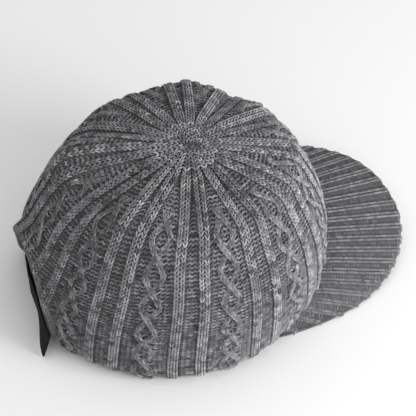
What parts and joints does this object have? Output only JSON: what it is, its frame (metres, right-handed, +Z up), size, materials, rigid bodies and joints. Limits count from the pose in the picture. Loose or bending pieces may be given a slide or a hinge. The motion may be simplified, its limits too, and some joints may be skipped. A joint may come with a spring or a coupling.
{
  "type": "knit baseball cap",
  "caption": "Ribbed and cabled knit cap with a round soft crown, a curved knit-covered peak in front and a webbing strap with a slide across an arched opening at the back.",
  "frame": {"origin": "middle of the cap's bounding box on the plane that its hem stands on", "axes": "+Z up through the crown, -Y forwards over the peak, +Y towards the opening at the back, -X towards the wearer's right"},
  "size_m": [0.1962, 0.2582, 0.105],
  "materials": {
    "crown_knit": "matte melange wool knit, ribbed and cabled",
    "peak_knit": "matte melange wool knit, ribbed",
    "webbing": "matte woven webbing",
    "slide": "satin moulded plastic"
  },
  "bodies": {
    "root": {"crown": "crown_knit", "peak": "peak_knit", "back_strap": "webbing", "strap_anchor": "webbing", "strap_slide": "slide"}
  },
  "joints": []
}
